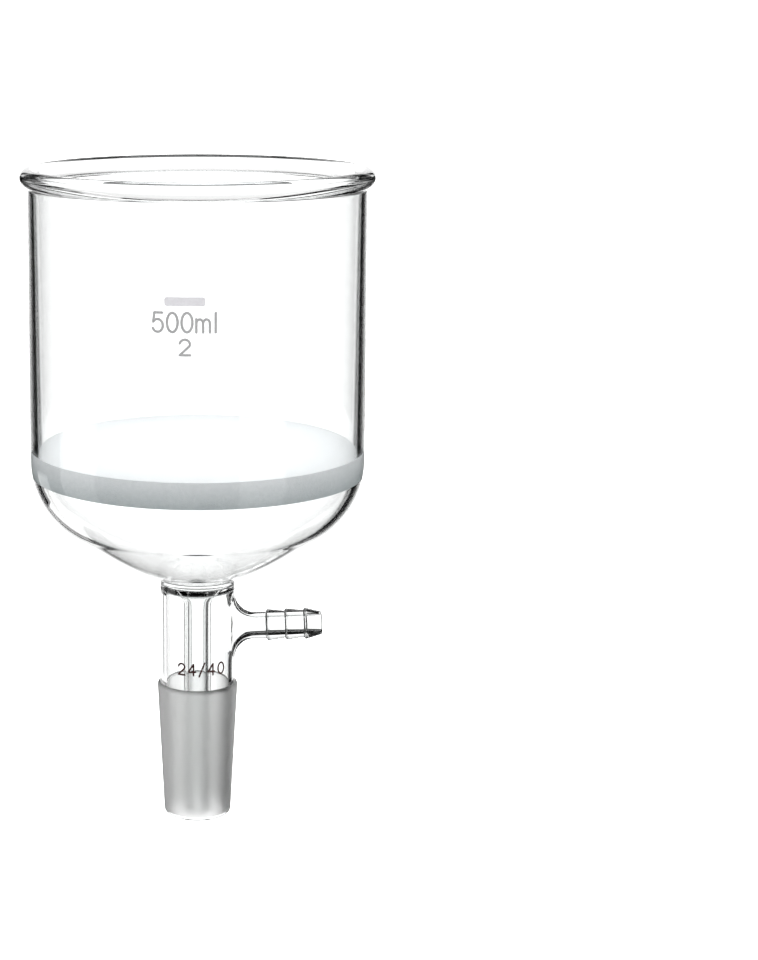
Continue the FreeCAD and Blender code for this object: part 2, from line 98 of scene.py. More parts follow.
WELL_RADIUS = 10.1
WELL_CORNER = 0.8
FLARE_CENTRE = WELL_RADIUS - WELL_CORNER
FLARE_HEIGHT = foot_of("ring_seal")
ANNULUS_CORNER = 0.5
SEAL_FOOT = top_of("jacket_tube")

JACKET_RADIUS = 11.2
JACKET_BORE = 9.4
ARM_HEIGHT = 17.7
ARM_TILT = math.radians(2.2)
ARM_RADIUS = 4.0
ARM_BORE = 2.4
ARM_FILLET = 6.0
ARM_LENGTH = 20.4
BARB_CREST = 4.8
BARB_VALLEY = 4.1
BARB_TIP = 3.55
BARB_PITCH = 5.6
BARB_STEP = 0.4
BARB_ROUNDING = 0.5
BARB_CREST_DROP = 0.12  # how far a crest's rounding starts below the crest
BARB_CREST_BEND = 0.18
BARB_CREST_RUN = 0.25

CONE_LARGE = reach_of("joint_cone")
CONE_SMALL = 10.05
CONE_GROUND = 39.0
CONE_FOOT = foot_of("joint_cone")
CONE_SHOULDER = 1.5
CONE_SHOULDER_TOP = foot_of("jacket_tube")
CONE_TIP = 1.3
CONE_BORE_TIP = 8.5
CONE_LIP = 0.6          # rounding inside the tip
CONE_LIP_RUN = 0.5
CONE_TIP_RUN = 0.25
DRIP_RADIUS = reach_of("drip_tube")
DRIP_BORE = 2.6
DRIP_FOOT = foot_of("drip_tube")


# ---------------------------------------------------------------- meshes


class Outline:
    """A closed section, drawn from point to point.  Each edge has a material."""

    def __init__(self, radius, height):
        self.points = [(radius, height)]
        self.edge_slots = []

    def line(self, radius, height, steps=1, slot=GLASS):
        start_radius, start_height = self.points[-1]
        for step in range(1, steps + 1):
            share = step / steps
            self.points.append((start_radius + (radius - start_radius) * share,
                                start_height + (height - start_height) * share))
            self.edge_slots.append(slot)
        return self

    def arc(self, radius, height, bend, side, steps, slot=GLASS):
        """An arc of radius bend.  side +1 has its centre on the left of the way there."""
        start = Vector(self.points[-1])
        end = Vector((radius, height))
        along = end - start
        left = Vector((-along.y, along.x)).normalized()
        reach = math.sqrt(max(bend * bend - along.length_squared / 4, 0.0))
        centre = (start + end) / 2 + left * (side * reach)
        begin = math.atan2(start.y - centre.y, start.x - centre.x)
        turn = math.atan2(end.y - centre.y, end.x - centre.x) - begin
        turn = (turn + math.pi) % (2 * math.pi) - math.pi
        for step in range(1, steps + 1):
            angle = begin + turn * step / steps
            self.points.append((centre.x + bend * math.cos(angle),
                                centre.y + bend * math.sin(angle)))
            self.edge_slots.append(slot)
        return self

    def close(self, slot=GLASS):
        self.edge_slots.append(slot)
        return self


# height and spacing in millimetres of the unevenness of hand-worked glass
BOWL_WAVE = {"wave": 0.1, "wave_spacing": 30.0}
SEAL_WAVE = {"wave": 0.06, "wave_spacing": 6.0}
TUBE_WAVE = {"wave": 0.04, "wave_spacing": 12.0}
ARM_WAVE, ARM_WAVE_SPACING = 0.05, 9.0


def ripple(point, amount, spacing):
    """How far a hand-worked surface stands off its true place at a point."""
    return amount * noise.noise(point / (spacing * MM), noise_basis="PERLIN_ORIGINAL")


def make_object(name, vertices, faces, slots, materials):
    """A smooth-shaded object with sharp creases, riding on the funnel."""
    mesh = bpy.data.meshes.new(name)
    mesh.from_pydata(vertices, [], faces)
    for material in materials:
        mesh.materials.append(material)
    mesh.polygons.foreach_set("material_index", slots)
    mesh.polygons.foreach_set("use_smooth", [True] * len(faces))
    shell = bmesh.new()
    shell.from_mesh(mesh)
    bmesh.ops.remove_doubles(shell, verts=shell.verts, dist=WELD_DISTANCE)
    bmesh.ops.recalc_face_normals(shell, faces=shell.faces)
    shell.to_mesh(mesh)
    shell.free()
    mesh.set_sharp_from_angle(angle=CREASE_ANGLE)
    piece = bpy.data.objects.new(name, mesh)
    bpy.context.scene.collection.objects.link(piece)
    return piece


def turned(name, outline, materials, segments=SEGMENTS, place=Matrix.Identity(4),
           wave=0.0, wave_spacing=30.0):
    """A closed section turned about the Z axis, then put in place.  The wave only goes inwards."""
    count = len(outline.points)
    vertices = []
    for segment in range(segments):
        angle = 2 * math.pi * segment / segments
        out = Vector((math.cos(angle), math.sin(angle), 0))
        for radius, height in outline.points:
            point = out * (radius * MM) + Vector((0, 0, height * MM))
            point -= out * (wave + ripple(point, wave, wave_spacing)) * (MM / 2)
            vertices.append(place @ point)
    faces = []
    slots = []
    for segment in range(segments):
        here = segment * count
        there = (segment + 1) % segments * count
        for index in range(count):
            following = (index + 1) % count
            faces.append((here + index, there + index, there + following, here + following))
            slots.append(outline.edge_slots[index])
    return make_object(name, vertices, faces, slots, materials)


# ---------------------------------------------------------------- materials


def new_material(name):
    """An empty node material and its tree."""
    material = bpy.data.materials.new(name)
    material.use_nodes = True
    material.node_tree.nodes.clear()
    return material, material.node_tree


def add(tree, kind, **inputs):
    """A node of a tree, with inputs set by name."""
    node = tree.nodes.new(kind)
    for name, value in inputs.items():
        node.inputs[name.replace("_", " ")].default_value = value
    return node


def math_node(tree, operation, first, second=None, third=None):
    """A math node fed with numbers or sockets."""
    node = tree.nodes.new("ShaderNodeMath")
    node.operation = operation
    for index, value in enumerate((first, second, third)):
        if value is None:
            continue
        if isinstance(value, (int, float)):
            node.inputs[index].default_value = value
        else:
            tree.links.new(value, node.inputs[index])
    return node.outputs[0]


def noise_at(tree, scale, detail=2.0, roughness=0.5, stretch=(1, 1, 1)):
    """Noise over the object's own space.  scale is per metre."""
    where = tree.nodes.new("ShaderNodeTexCoord")
    mapping = tree.nodes.new("ShaderNodeMapping")
    mapping.inputs["Scale"].default_value = stretch
    tree.links.new(where.outputs["Object"], mapping.inputs["Vector"])
    texture = add(tree, "ShaderNodeTexNoise", Scale=scale, Detail=detail, Roughness=roughness)
    tree.links.new(mapping.outputs[0], texture.inputs["Vector"])
    return texture.outputs["Fac"]


def span(tree, value, low, high):
    """Stretches a 0 to 1 value over low to high."""
    node = tree.nodes.new("ShaderNodeMapRange")
    node.inputs["To Min"].default_value = low
    node.inputs["To Max"].default_value = high
    tree.links.new(value, node.inputs["Value"])
    return node.outputs["Result"]


def bump(tree, height, distance, strength):
    """A bump node over a height."""
    node = add(tree, "ShaderNodeBump", Distance=distance, Strength=strength)
    tree.links.new(height, node.inputs["Height"])
    return node.outputs["Normal"]


def blend(tree, share, first, second):
    """A colour between two, as a share of the way to the second."""
    mix = tree.nodes.new("ShaderNodeMix")
    mix.data_type = "RGBA"
    tree.links.new(share, mix.inputs[0])
    for socket, colour in ((mix.inputs[6], first), (mix.inputs[7], second)):
        socket.default_value = (*colour, 1)
    return mix.outputs[2]


def finish_material(tree, shader):
    """Connects a shader to the output."""
    output = tree.nodes.new("ShaderNodeOutputMaterial")
    tree.links.new(shader.outputs[0], output.inputs["Surface"])


GLASS_IOR = 1.473


def clear_glass():
    """Fire-polished borosilicate glass with faint striae."""
    material, tree = new_material("clear_glass")
    shader = add(tree, "ShaderNodeBsdfPrincipled", Roughness=0.0, IOR=GLASS_IOR)
    shader.inputs["Base Color"].default_value = (0.985, 0.992, 0.99, 1)
    shader.inputs["Transmission Weight"].default_value = 1.0
    striae = noise_at(tree, 90.0, 1.0, 0.4, (1, 1, 0.25))
    tree.links.new(bump(tree, striae, 0.00002, 0.25), shader.inputs["Normal"])
    finish_material(tree, shader)
    return material


def fused_seam():
    """Where two zones of the same glass run into each other there is nothing to see."""
    material, tree = new_material("fused_seam")
    finish_material(tree, add(tree, "ShaderNodeBsdfTransparent"))
    return material


def ground_glass():
    """The finely ground surface of the cone."""
    material, tree = new_material("ground_glass")
    shader = add(tree, "ShaderNodeBsdfPrincipled", IOR=GLASS_IOR)
    shader.inputs["Base Color"].default_value = (0.88, 0.885, 0.88, 1)
    shader.inputs["Transmission Weight"].default_value = 1.0
    grain = noise_at(tree, 4200.0, 4.0, 0.7)
    turning = noise_at(tree, 260.0, 3.0, 0.6, (1, 1, 5))
    tree.links.new(span(tree, turning, 0.5, 0.68), shader.inputs["Roughness"])
    tree.links.new(bump(tree, grain, 0.00003, 0.6), shader.inputs["Normal"])
    finish_material(tree, shader)
    return material


def sintered_glass():
    """White porous glass: fused grains with fine pores, with painted shade that makes it darker and
    bluer lower down, as if lit from the top.
    """
    material, tree = new_material("sintered_glass")
    shader = add(tree, "ShaderNodeBsdfPrincipled", Roughness=0.85, IOR=1.47)
    where = tree.nodes.new("ShaderNodeTexCoord")
    split = tree.nodes.new("ShaderNodeSeparateXYZ")
    tree.links.new(where.outputs["Object"], split.inputs[0])
    grains = add(tree, "ShaderNodeTexVoronoi", Scale=3200.0)
    tree.links.new(where.outputs["Object"], grains.inputs["Vector"])
    cloud = noise_at(tree, 900.0, 5.0, 0.7)
    # painted shade: the colour runs from a dark bluish grey at the disc's foot to near white at its
    # top, standing in for light falling from above; the noise added to it is the glass's own random
    # tone
    painted_shade_by_height = tree.nodes.new("ShaderNodeMapRange")
    painted_shade_by_height.inputs["From Min"].default_value = FRIT_FOOT * MM
    painted_shade_by_height.inputs["From Max"].default_value = FRIT_TOP * MM
    painted_shade_by_height.inputs["To Min"].default_value = 0.25
    tree.links.new(split.outputs["Z"], painted_shade_by_height.inputs["Value"])
    grain_tone = math_node(tree, "MULTIPLY_ADD", cloud, 0.5, -0.25)
    tone = math_node(tree, "ADD", painted_shade_by_height.outputs["Result"], grain_tone)
    # the first colour is the painted shade of the lower side, the second the disc's own white
    tree.links.new(blend(tree, tone, (0.45, 0.51, 0.52), (0.89, 0.915, 0.93)),
                   shader.inputs["Base Color"])
    height = math_node(tree, "ADD", grains.outputs["Distance"], cloud)
    tree.links.new(bump(tree, height, 0.00012, 0.6), shader.inputs["Normal"])
    finish_material(tree, shader)
    return material


def enamel(name, colour, worn_colour, cover):
    """Fired-on enamel: slightly uneven in tone, semi-matt.  cover is how much of the glass it
    hides."""
    material, tree = new_material(name)
    shader = add(tree, "ShaderNodeBsdfPrincipled", Roughness=0.5, Alpha=cover)
    tone = noise_at(tree, 1500.0, 4.0, 0.6)
    tree.links.new(blend(tree, tone, colour, worn_colour), shader.inputs["Base Color"])
    tree.links.new(span(tree, tone, 0.4, 0.6), shader.inputs["Roughness"])
    tree.links.new(bump(tree, tone, 0.00002, 0.4), shader.inputs["Normal"])
    finish_material(tree, shader)
    return material


glass_set = [clear_glass(), fused_seam(), ground_glass()]
frit_glass = sintered_glass()


def show(piece, slot, *nodes):
    """Puts a finished piece on the funnel in place of its CAD nodes."""
    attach(piece, "root")
    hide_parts(*nodes)
    return piece


# ---------------------------------------------------------------- bowl


def rolled_rim():
    """The rolled bead: a round section that a fillet joins to the wall."""
    centre = RIM_RADIUS - RIM_BEAD
    across = BOWL_TOP_RADIUS + RIM_FILLET - centre
    reach = RIM_BEAD + RIM_FILLET
    down = math.sqrt(reach * reach - across * across)
    touch = (centre + RIM_BEAD * across / reach, RIM_CENTRE - RIM_BEAD * down / reach)
    outline = Outline(BORE_RADIUS, WALL_TOP)
    outline.line(BOWL_TOP_RADIUS, WALL_TOP, 1, SEAM)
    outline.line(BOWL_TOP_RADIUS, RIM_CENTRE - down, 2)
    outline.arc(*touch, RIM_FILLET, -1, 8)
    outline.arc(RIM_RADIUS, RIM_CENTRE, RIM_BEAD, 1, 10)
    outline.arc(centre, RIM_CENTRE + RIM_BEAD, RIM_BEAD, 1, 14)
    outline.arc(centre - RIM_BEAD, RIM_CENTRE, RIM_BEAD, 1, 14)
    outline.line(BORE_RADIUS, RIM_CENTRE - RIM_LIP_DROP, 6)
    outline.line(BORE_RADIUS, WALL_TOP, 2).close()
    return turned("rolled_rim_glass", outline, glass_set, **BOWL_WAVE)


def bowl_wall():
    """The straight wall."""
    outline = Outline(BORE_RADIUS, SHOULDER_HEIGHT)
    outline.line(BOWL_FOOT_RADIUS, SHOULDER_HEIGHT, 1, SEAM)
    outline.line(BOWL_TOP_RADIUS, WALL_TOP, 24)
    outline.line(BORE_RADIUS, WALL_TOP, 1, SEAM)
    outline.line(BORE_RADIUS, SHOULDER_HEIGHT, 24).close()
    return turned("bowl_wall_glass", outline, glass_set, **BOWL_WAVE)


SHOULDER_CENTRE = BOWL_FOOT_RADIUS - SHOULDER_RADIUS


def on_shoulder(upper):
    """Where an upper arc of the dome's section ends."""
    return (SHOULDER_CENTRE + upper * math.cos(SHOULDER_ANGLE),
            SHOULDER_HEIGHT - upper * math.sin(SHOULDER_ANGLE))


def on_floor(upper, lower, angle):
    """A point of the lower arc that carries on from an upper arc."""
    radius, height = on_shoulder(upper - lower)
    return radius + lower * math.cos(angle), height - lower * math.sin(angle)


OUTER_NECK = on_floor(SHOULDER_RADIUS, FLOOR_RADIUS, FLOOR_ANGLE)
INNER_NECK = on_floor(INNER_SHOULDER_RADIUS, INNER_FLOOR_RADIUS, INNER_FLOOR_ANGLE)


def dome_bottom():
    """The dome: two tangent arcs outside and two inside, thinning towards the neck."""
    ledge = SHOULDER_HEIGHT - FRIT_FOOT
    ledge_radius = SHOULDER_CENTRE + math.sqrt(INNER_SHOULDER_RADIUS ** 2 - ledge ** 2)
    outline = Outline(BORE_RADIUS, SHOULDER_HEIGHT)
    outline.line(BORE_RADIUS, FRIT_FOOT, 4)
    outline.line(ledge_radius, FRIT_FOOT)
    outline.arc(*on_shoulder(INNER_SHOULDER_RADIUS), INNER_SHOULDER_RADIUS, -1, 28)
    outline.arc(*INNER_NECK, INNER_FLOOR_RADIUS, -1, 24)
    outline.line(*OUTER_NECK, 1, SEAM)
    outline.arc(*on_shoulder(SHOULDER_RADIUS), FLOOR_RADIUS, 1, 24)
    outline.arc(BOWL_FOOT_RADIUS, SHOULDER_HEIGHT, SHOULDER_RADIUS, 1, 28)
    outline.close(SEAM)
    return turned("dome_bottom_glass", outline, glass_set, **BOWL_WAVE)


def frit_disc():
    """The sintered disc.  Its rim is sunk a hair into the wall, as it is fused there."""
    rim = BORE_RADIUS + FRIT_SUNK
    foot = FRIT_FOOT - FRIT_BED
    outline = Outline(0, FRIT_TOP)
    outline.line(rim, FRIT_TOP, 60)
    outline.line(rim, foot, 10)
    outline.line(0, foot, 60).close()
    return turned("frit_disc_sintered", outline, [frit_glass])


# ---------------------------------------------------------------- ring seal and tubes


def ring_seal():
    """The fused ring where the dome, the jacket and the drip tube's flare come together."""
    rounding = (INNER_NECK[0] - WELL_RADIUS) / (1 - math.cos(INNER_FLOOR_ANGLE))
    fillet = (OUTER_NECK[0] - JACKET_RADIUS) / (1 - math.cos(FLOOR_ANGLE))
    flare_outer = FLARE_CENTRE - DRIP_RADIUS
    flare_inner = FLARE_CENTRE - DRIP_BORE
    flare_top = FLARE_HEIGHT + flare_inner
    # the corner that closes the annulus touches the flare's outside and the jacket's bore
    inwards = FLARE_CENTRE - (JACKET_BORE - ANNULUS_CORNER)
    reach = flare_outer - ANNULUS_CORNER
    lift = math.sqrt(reach * reach - inwards * inwards)
    outline = Outline(*INNER_NECK)
    outline.arc(WELL_RADIUS, INNER_NECK[1] - rounding * math.sin(INNER_FLOOR_ANGLE),
                rounding, 1, 12)
    outline.line(WELL_RADIUS, flare_top + WELL_CORNER)
    outline.arc(FLARE_CENTRE, flare_top, WELL_CORNER, -1, 8)
    outline.arc(DRIP_BORE, FLARE_HEIGHT, flare_inner, 1, 24)
    outline.line(DRIP_RADIUS, FLARE_HEIGHT, 1, SEAM)
    outline.arc(FLARE_CENTRE - inwards * flare_outer / reach,
                FLARE_HEIGHT + lift * flare_outer / reach, flare_outer, -1, 20)
    outline.arc(JACKET_BORE, FLARE_HEIGHT + lift, ANNULUS_CORNER, -1, 10)
    outline.line(JACKET_BORE, SEAL_FOOT)
    outline.line(JACKET_RADIUS, SEAL_FOOT, 1, SEAM)
    outline.line(JACKET_RADIUS, OUTER_NECK[1] - fillet * math.sin(FLOOR_ANGLE), 2)
    outline.arc(*OUTER_NECK, fillet, -1, 12)
    outline.close(SEAM)
    return turned("ring_seal_glass", outline, glass_set, **SEAL_WAVE)


def drip_tube():
    """The tube inside the jacket, with a fire-polished end."""
    edge = (DRIP_RADIUS - DRIP_BORE) / 2
    outline = Outline(DRIP_BORE, FLARE_HEIGHT)
    outline.line(DRIP_BORE, DRIP_FOOT + edge, 24)
    outline.arc(DRIP_BORE + edge, DRIP_FOOT, edge, 1, 6)
    outline.arc(DRIP_RADIUS, DRIP_FOOT + edge, edge, 1, 6)
    outline.line(DRIP_RADIUS, FLARE_HEIGHT, 24)
    outline.close(SEAM)
    return turned("drip_tube_glass", outline, glass_set, **TUBE_WAVE)


def joint_cone():
    """The ground cone with its clear tip."""
    outline = Outline(JACKET_BORE, CONE_SHOULDER_TOP)
    outline.line(CONE_BORE_TIP, CONE_FOOT + CONE_LIP, 24)
    outline.arc(CONE_BORE_TIP + CONE_LIP_RUN, CONE_FOOT, CONE_LIP, 1, 6)
    outline.line(CONE_SMALL - CONE_TIP + CONE_TIP_RUN, CONE_FOOT)
    outline.arc(CONE_SMALL, -CONE_GROUND, CONE_TIP, 1, 8)
    outline.line(CONE_LARGE, 0.0, 30, GROUND)
    outline.arc(JACKET_RADIUS, CONE_SHOULDER_TOP, CONE_SHOULDER, 1, 8, GROUND)
    outline.close(SEAM)
    return turned("joint_cone_glass", outline, glass_set)


# ---------------------------------------------------------------- jacket, side arm and barb

ARM_ALONG = Vector((math.cos(ARM_TILT), 0, math.sin(ARM_TILT)))
ARM_UP = Vector((-math.sin(ARM_TILT), 0, math.cos(ARM_TILT)))
ARM_SIDE = Vector((0, 1, 0))
ARM_START = Vector((0, 0, ARM_HEIGHT))
WINDOW_ANGLE = math.radians(80)


def round_arm(angle, radius, along):
    """A point beside the arm's axis, in millimetres."""
    out = ARM_UP * math.cos(angle) + ARM_SIDE * math.sin(angle)
    return ARM_START + ARM_ALONG * along + out * radius


def fillet_run(jacket_radius, arm_radius, fillet, angle, steps):
    """The arc that a ball of the fillet's radius touches as it rolls round the arm's root, from
    the jacket to the arm."""
    beside = round_arm(angle, arm_radius + fillet, 0)
    reach = jacket_radius + fillet
    # how far along the arm the ball's centre is when it is that far from the funnel's axis
    ahead = ARM_ALONG.x * beside.x
    along = (-ahead + math.sqrt(ahead * ahead - ARM_ALONG.x ** 2 * (
        beside.x ** 2 + beside.y ** 2 - reach * reach))) / ARM_ALONG.x ** 2
    centre = beside + ARM_ALONG * along
    on_jacket = Vector((centre.x, centre.y, 0)).normalized() * -1
    on_arm = (round_arm(angle, arm_radius, along) - centre).normalized()
    return [centre + on_jacket.slerp(on_arm, step / steps) * fillet for step in range(steps + 1)]


def window_edge(angle, low, high):
    """Where a ray at an angle from the arm's root leaves the jacket's window, as (angle round
    the jacket, height).  The rays are spread evenly over each side of the window."""
    side = math.sin(angle)
    up = math.cos(angle)
    biggest = max(abs(side), abs(up))
    middle = (low + high) / 2
    return WINDOW_ANGLE * side / biggest, middle + (high - low) / 2 * up / biggest


def tee_rows(jacket_radius, arm_radius, fillet, low, high, window_steps, fillet_steps, arm_steps):
    """Closed rows of points from the jacket's window, over the fillet, to the arm's end."""
    rows = [[] for row in range(window_steps + fillet_steps + arm_steps + 1)]
    for segment in range(ARM_SEGMENTS):
        angle = 2 * math.pi * segment / ARM_SEGMENTS
        run = fillet_run(jacket_radius, arm_radius, fillet, angle, fillet_steps)
        edge_turn, edge_height = window_edge(angle, low, high)
        root_turn = math.atan2(run[0].y, run[0].x)
        for step in range(window_steps):
            share = step / window_steps
            turn = edge_turn + (root_turn - edge_turn) * share
            height = edge_height + (run[0].z - edge_height) * share
            rows[step].append(Vector((jacket_radius * math.cos(turn),
                                      jacket_radius * math.sin(turn), height)))
        for step, point in enumerate(run):
            rows[window_steps + step].append(point)
        end = round_arm(angle, arm_radius, ARM_LENGTH)
        for step in range(1, arm_steps + 1):
            rows[window_steps + fillet_steps + step].append(run[-1].lerp(end, step / arm_steps))
    return rows


class MeshParts:
    """Vertices and faces gathered piece by piece."""

    def __init__(self):
        self.vertices = []
        self.faces = []
        self.slots = []

    def row(self, points):
        """Adds points given in millimetres and returns their numbers."""
        start = len(self.vertices)
        for point in points:
            place = point * MM
            out = Vector((point.x, point.y, 0)).normalized()
            self.vertices.append(place + out * (ripple(place, ARM_WAVE, ARM_WAVE_SPACING) * MM))
        return list(range(start, len(self.vertices)))

    def band(self, first, second, flip, slot=GLASS, closed=True):
        """Quads between two rows of numbers."""
        count = len(first)
        for index in range(count if closed else count - 1):
            following = (index + 1) % count
            face = (first[index], first[following], second[following], second[index])
            self.faces.append(face[::-1] if flip else face)
            self.slots.append(slot)

    def bands(self, rows, flip):
        for first, second in zip(rows, rows[1:]):
            self.band(first, second, flip)


WINDOW_STEPS = 10
FILLET_STEPS = 16
ARM_STEPS = 4
SPLIT = WINDOW_STEPS + 5    # the row of the fillet where the jacket's node ends
REST_COLUMNS = 72


def jacket_and_arm():
    """The jacket with the arm's root drawn out of it, and the arm's neck."""
    low, high = CONE_SHOULDER_TOP, SEAL_FOOT
    wall = ARM_RADIUS - ARM_BORE
    sizes = (low, high, WINDOW_STEPS, FILLET_STEPS, ARM_STEPS)
    outside = tee_rows(JACKET_RADIUS, ARM_RADIUS, ARM_FILLET, *sizes)
    inside = tee_rows(JACKET_BORE, ARM_BORE, ARM_FILLET + wall, *sizes)

    jacket = MeshParts()
    outer = [jacket.row(points) for points in outside[:SPLIT + 1]]
    inner = [jacket.row(points) for points in inside[:SPLIT + 1]]
    jacket.bands(outer, False)
    jacket.bands(inner, True)
    jacket.band(outer[-1], inner[-1], False, SEAM)
    # The window's corners lie an eighth of a turn of rays either side of each axis.
    eighth = ARM_SEGMENTS // 8
    right = list(range(eighth, 3 * eighth + 1))
    left = [(ARM_SEGMENTS - index) % ARM_SEGMENTS for index in right]
    tops = [(index - eighth) % ARM_SEGMENTS for index in range(2 * eighth + 1)]
    feet = [3 * eighth + index for index in range(2 * eighth + 1)]
    sheets = []
    for radius, rows in ((JACKET_RADIUS, outer), (JACKET_BORE, inner)):
        columns = [[rows[0][index] for index in right]]
        for column in range(1, REST_COLUMNS):
            turn = WINDOW_ANGLE + (2 * math.pi - 2 * WINDOW_ANGLE) * column / REST_COLUMNS
            heights = [window_edge(2 * math.pi * index / ARM_SEGMENTS, low, high)[1]
                       for index in right]
            columns.append(jacket.row([Vector((radius * math.cos(turn),
                                               radius * math.sin(turn), height))
                                       for height in heights]))
        columns.append([rows[0][index] for index in left])
        sheets.append(columns)
        for first, second in zip(columns, columns[1:]):
            jacket.band(first, second, radius == JACKET_RADIUS, closed=False)
    outer_top = [outer[0][index] for index in tops] + [c[0] for c in sheets[0][1:-1]]
    inner_top = [inner[0][index] for index in tops] + [c[0] for c in sheets[1][1:-1]]
    outer_foot = ([outer[0][index] for index in reversed(feet)]
                  + [c[-1] for c in sheets[0][1:-1]])
    inner_foot = ([inner[0][index] for index in reversed(feet)]
                  + [c[-1] for c in sheets[1][1:-1]])
    jacket.band(outer_top, inner_top, False, SEAM)
    jacket.band(outer_foot, inner_foot, True, SEAM)

    arm = MeshParts()
    outer = [arm.row(points) for points in outside[SPLIT:]]
    inner = [arm.row(points) for points in inside[SPLIT:]]
    arm.bands(outer, False)
    arm.bands(inner, True)
    arm.band(outer[0], inner[0], True, SEAM)
    arm.band(outer[-1], inner[-1], False, SEAM)
    return (make_object("jacket_tube_glass", jacket.vertices, jacket.faces, jacket.slots,
                        glass_set),
            make_object("side_arm_glass", arm.vertices, arm.faces, arm.slots, glass_set))


def arm_place():
    """Puts a piece turned about Z onto the side arm's axis, with the same first ray."""
    turn = Matrix((ARM_UP, ARM_SIDE, ARM_ALONG)).transposed().to_4x4()
    return Matrix.Translation(ARM_START * MM) @ turn


def hose_barb():
    """Three rings, each steep behind and tapering towards the open end."""
    end = ARM_LENGTH + 3 * BARB_PITCH
    outline = Outline(ARM_RADIUS, ARM_LENGTH)
    for ring in range(3):
        start = ARM_LENGTH + ring * BARB_PITCH
        taper_end = BARB_TIP if ring == 2 else BARB_VALLEY
        outline.line(BARB_CREST - BARB_CREST_DROP, start + BARB_STEP, 2)
        outline.arc(BARB_CREST - BARB_CREST_DROP / 2, start + BARB_STEP + BARB_CREST_RUN,
                    BARB_CREST_BEND, -1, 3)
        outline.line(taper_end, start + BARB_PITCH - (BARB_ROUNDING if ring == 2 else 0), 6)
    outline.arc(BARB_TIP - BARB_ROUNDING, end, BARB_ROUNDING, 1, 6)
    outline.line(ARM_BORE, end)
    outline.line(ARM_BORE, ARM_LENGTH, 16)
    outline.close(SEAM)
    return turned("hose_barb_glass", outline, glass_set, ARM_SEGMENTS, arm_place())


show(rolled_rim(), "clear_glass", "rolled_rim")
show(bowl_wall(), "clear_glass", "bowl_wall")
show(dome_bottom(), "clear_glass", "dome_bottom")
show(frit_disc(), "sintered_glass", "frit_disc")
show(ring_seal(), "clear_glass", "ring_seal")
show(drip_tube(), "clear_glass", "drip_tube")
show(joint_cone(), "ground_glass", "joint_cone")
jacket_piece, arm_piece = jacket_and_arm()
show(jacket_piece, "clear_glass", "jacket_tube")
show(arm_piece, "clear_glass", "side_arm")
show(hose_barb(), "clear_glass", "hose_barb")

ENAMELS = {
    "marking_bar": enamel("pale_enamel", (0.62, 0.61, 0.64), (0.78, 0.77, 0.80), 0.72),
    "capacity_mark": enamel("grey_enamel", (0.28, 0.28, 0.29), (0.52, 0.52, 0.52), 0.88),
    "grade_mark": enamel("grade_enamel", (0.28, 0.28, 0.29), (0.52, 0.52, 0.52), 0.88),
    "joint_size_mark": enamel("dark_enamel", (0.02, 0.004, 0.004), (0.07, 0.015, 0.012), 1.0),
}
for node, material in ENAMELS.items():
    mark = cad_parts[node]
    mark.data.materials.clear()
    mark.data.materials.append(material)


# ---------------------------------------------------------------- floor, light and camera


FLOOR_HALF = 40.0       # metres
WHITE = (1, 1, 1, 1)


def sheet(name, corners, material):
    """A flat four-cornered piece."""
    mesh = bpy.data.meshes.new(name)
    mesh.from_pydata(corners, [], [(0, 1, 2, 3)])
    mesh.materials.append(material)
    piece = bpy.data.objects.new(name, mesh)
    bpy.context.scene.collection.objects.link(piece)
    return piece


def pale_floor():
    """A white floor at the funnel's lowest point.  It isn't seen through the glass or in it."""
    material, tree = new_material("pale_floor")
    shader = add(tree, "ShaderNodeBsdfPrincipled", Roughness=0.9)
    shader.inputs["Base Color"].default_value = (0.9, 0.9, 0.9, 1)
    shader.inputs["Emission Color"].default_value = WHITE
    shader.inputs["Emission Strength"].default_value = 0.9
    finish_material(tree, shader)
    corners = [(x * FLOOR_HALF, y * FLOOR_HALF, CONE_FOOT * MM)
               for x, y in ((-1, -1), (1, -1), (1, 1), (-1, 1))]
    floor = sheet("pale_floor", corners, material)
    floor.visible_transmission = False
    floor.visible_glossy = False
    floor.visible_diffuse = False
    floor.visible_shadow = False


# azimuth, half width and soft edge in degrees, then strength; the brightest is behind the funnel
WINDOWS = ((90, 15, 3, 1.5), (180, 15, 3, 1.2), (315, 15, 3, 1.2))
LOW_WINDOW = (136, 8, 2, 1.25)
# elevations in degrees between which each step in the light runs
LOW_WINDOW_TOP = (-12.5, -15)
WINDOWS_FOOT = (-38, -30)
WINDOWS_DIM = (12, 20)
WINDOWS_DIM_BY = 0.3
OVERHEAD_FOOT = (54, 62)
CARD_STRENGTH = 0.008
OVERHEAD_STRENGTH = 1.7
FILL_LOW = 0.62
FILL_RISE = 2.65
PANEL_STRENGTH = 1.25
# azimuth in degrees, then distance, half width, lowest and highest point in metres
PANELS = ((135, 0.5, 0.12, -0.40, -0.165),
          (63, 0.135, 0.016, -0.045, -0.004), (117, 0.135, 0.016, -0.045, -0.004))


def ramp(tree, value, start, end):
    """A soft step from 0 at start to 1 at end."""
    node = tree.nodes.new("ShaderNodeMapRange")
    node.interpolation_type = "SMOOTHSTEP"
    for name, limit in (("Value", value), ("From Min", start), ("From Max", end)):
        if isinstance(limit, float):
            node.inputs[name].default_value = limit
        else:
            tree.links.new(limit, node.inputs[name])
    return node.outputs["Result"]


def step_up(tree, height, elevations):
    """A soft step between two elevations in degrees, over the height of a unit direction."""
    start, end = (math.sin(math.radians(degrees)) for degrees in elevations)
    return ramp(tree, height, start, end)


def window(tree, azimuth, middle, half_width, edge, brightness):
    """A tall window in the dark surroundings."""
    off = math_node(tree, "SUBTRACT", azimuth, math.radians(middle))
    off = math_node(tree, "ABSOLUTE", math_node(tree, "WRAP", off, math.pi, -math.pi))
    card = ramp(tree, off, math.radians(half_width), math.radians(half_width + edge))
    return math_node(tree, "MULTIPLY_ADD", card, -brightness, brightness)


